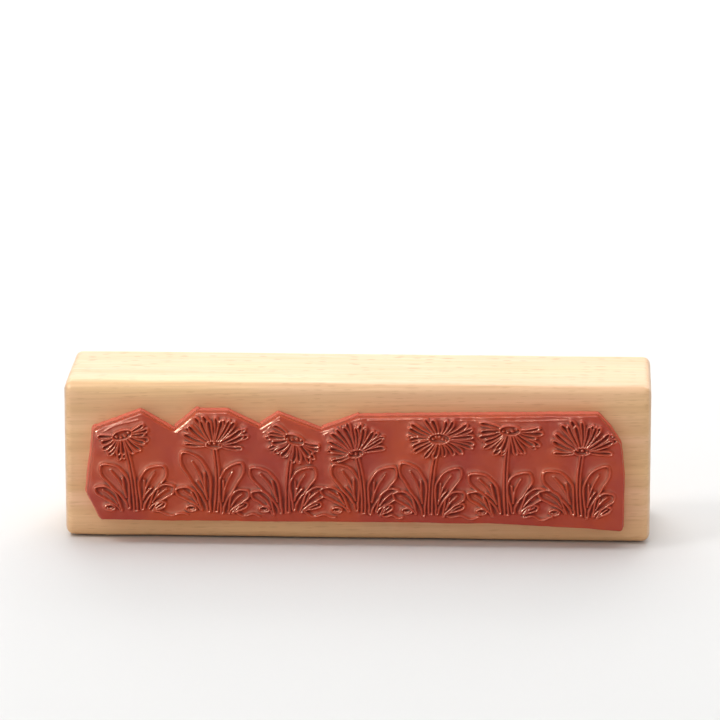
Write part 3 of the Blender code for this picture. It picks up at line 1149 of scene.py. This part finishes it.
def red_rubber():
    """Brick-red moulded rubber: semi-matt and rough in the recesses, with painted shade darkening the
    recesses and a painted highlight paling the ridges.
    """
    made, tree, shader, where = new_material("red_rubber")
    recess = tree.nodes.new("ShaderNodeAttribute")
    recess.attribute_name = RECESS
    recess = recess.outputs["Fac"]
    cloud = noise(tree, where, 90.0, 3.0)
    grain = noise(tree, where, 5200.0, 2.0)
    colour = mix(tree, fade(tree, cloud, 0.3, 0.7), RUBBER, RUBBER_CLOUD)
    # Painted highlight: the ridges are made paler, standing in for the light they catch
    colour = mix(tree, fade(tree, recess, -0.1, -0.6, 0.0, 0.55), colour, RUBBER_PAINTED_HIGHLIGHT)
    # Painted shade: the recesses are made darker, standing in for the shade that falls into them
    colour = mix(tree, fade(tree, recess, 0.17, 0.70, 0.0, 0.92), colour, RUBBER_PAINTED_SHADE)
    roughness = fade(tree, recess, 0.02, 0.30, 0.32, 0.80)
    dress(tree, shader, colour, roughness, 0.4, bump(tree, grain, 0.25, 0.02 * MM))
    return made


def cushion_foam():
    """Salmon-red closed-cell foam."""
    made, tree, shader, where = new_material("cushion_foam")
    cells = tree.nodes.new("ShaderNodeTexVoronoi")
    feed(tree, cells.inputs["Vector"], where)
    cells.inputs["Scale"].default_value = 5500.0
    pit = fade(tree, cells.outputs["Distance"], 0.1, 0.6)
    cloud = noise(tree, where, 160.0, 2.0)
    colour = mix(tree, fade(tree, cloud, 0.3, 0.7), FOAM, FOAM_CLOUD)
    colour = mix(tree, calc(tree, "MULTIPLY", pit, 0.3), colour, FOAM_PIT)
    roughness = fade(tree, pit, 0.0, 1.0, 0.72, 0.85)
    dress(tree, shader, colour, roughness, 0.3, bump(tree, pit, 0.5, 0.05 * MM))
    return made


def adhesive_film():
    """Brownish-pink, slightly glossy transfer adhesive."""
    made, tree, shader, where = new_material("adhesive_film")
    cloud = noise(tree, where, 900.0, 2.0)
    colour = mix(tree, fade(tree, cloud, 0.3, 0.7), GLUE, GLUE_CLOUD)
    dress(tree, shader, colour, fade(tree, cloud, 0.2, 0.8, 0.3, 0.45))
    return made


def black_ink():
    """Matte black printing ink, a little thinner over the grain."""
    made, tree, shader, where = new_material("black_ink")
    fibre = noise(tree, stretched(tree, where, INK_SCALE), 1.0, 3.0)
    colour = mix(tree, fade(tree, fibre, 0.55, 0.75), INK, INK_THIN)
    dress(tree, shader, colour, fade(tree, fibre, 0.3, 0.7, 0.5, 0.68))
    return made


# ---------------- stage

def floor_material():
    """Plain pale floor."""
    made, tree, shader, where = new_material("pale_floor")
    cloud = noise(tree, where, 3.0, 1.0)
    dress(tree, shader, mix(tree, cloud, FLOOR, FLOOR_CLOUD), 0.9, 0.1)
    return made


def add_floor():
    """Large pale floor just below the block."""
    mesh = bpy.data.meshes.new("floor")
    side = FLOOR_HALF_SIDE
    z = BLOCK_LOW[2] - FLOOR_GAP
    corners = [(-side, -side, z), (side, -side, z), (side, side, z), (-side, side, z)]
    mesh.from_pydata(corners, [], [(0, 1, 2, 3)])
    mesh.materials.append(floor_material())
    floor = add_object("floor", mesh)


def aim(thing, target):
    """Turn a camera or lamp so that it looks at a point."""
    direction = Vector(target) - thing.location
    thing.rotation_euler = direction.to_track_quat("-Z", "Y").to_euler()


def add_lamp(name, place, side, power):
    """White square soft box aimed at the block. Returns its object."""
    lamp = bpy.data.lights.new(name, "AREA")
    lamp.shape = "SQUARE"
    lamp.size = side
    lamp.energy = power
    thing = add_object(name, lamp)
    thing.location = place
    aim(thing, LAMP_TARGET)
    return thing


def add_light():
    """White room, soft boxes above and behind, and two warm lamps that only show as gleams."""
    world = bpy.data.worlds.new("studio")
    bpy.context.scene.world = world
    world.use_nodes = True
    back = world.node_tree.nodes["Background"]
    back.inputs["Color"].default_value = WHITE
    back.inputs["Strength"].default_value = ROOM_BRIGHTNESS
    for box in SOFT_BOXES:
        add_lamp(*box)
    for lamp in GLEAMS:
        gleam = add_lamp(*lamp)
        gleam.visible_diffuse = False
        gleam.data.color = GLEAM_COLOUR


def add_camera():
    """Long-lens camera in front of the die, a little above it and slightly to its right."""
    camera = bpy.data.cameras.new("camera")
    camera.lens = CAMERA_LENS
    camera.sensor_width = CAMERA_SENSOR
    camera.clip_start = CAMERA_CLIP_START
    thing = add_object("camera", camera)
    level = math.cos(CAMERA_ELEVATION)
    back = Vector((math.sin(CAMERA_AZIMUTH) * level, -math.cos(CAMERA_AZIMUTH) * level,
                   math.sin(CAMERA_ELEVATION)))
    thing.location = CAMERA_TARGET + back * CAMERA_DISTANCE
    aim(thing, CAMERA_TARGET)
    bpy.context.scene.camera = thing
    bpy.context.scene.view_settings.view_transform = "Standard"


def build():
    """Camera, light and floor, then the pieces from the wood outwards."""
    add_camera()
    add_light()
    add_floor()
    add_piece(rounded_block(), beech(), "beech_wood", "wood_block")
    film = adhesive_film()
    glue = cut_layer("block_glue_line", BLOCK_FACE_Y, FOAM_INNER_Y, BLOCK_GLUE_SETBACK, 0.0,
                     GLUE_UNEVENNESS, BLOCK_GLUE_LAYER)
    add_piece(glue, film, "adhesive_film", "block_adhesive")
    foam = cut_layer("cushion_body", FOAM_INNER_Y, FOAM_OUTER_Y, 0.0, FOAM_BULGE,
                     FOAM_UNEVENNESS, FOAM_LAYER)
    foam = add_piece(foam, cushion_foam(), "cushion_foam", "foam_cushion")
    glue = cut_layer("die_glue_line", FOAM_OUTER_Y, DIE_INNER_Y, DIE_GLUE_SETBACK, 0.0,
                     GLUE_UNEVENNESS, DIE_GLUE_LAYER)
    add_piece(glue, film, "adhesive_film", "die_adhesive")
    die = add_piece(die_mesh(), red_rubber(), "red_rubber", "rubber_die")
    fewer = die.modifiers.new("fewer_faces", "DECIMATE")
    triangles = sum(len(face.vertices) - 2 for face in die.data.polygons)
    fewer.ratio = min(1.0, DIE_TRIANGLES / triangles)
    ink = black_ink()
    for plant in range(len(PLANTS)):
        node = f"index_print_daisy_{plant + 1}"
        lines = add_piece(ink_mesh(plant), ink, "black_ink", node)
        thickness = lines.modifiers.new("film", "SOLIDIFY")
        thickness.thickness = INK_THICKNESS
        thickness.offset = -1.0


build()
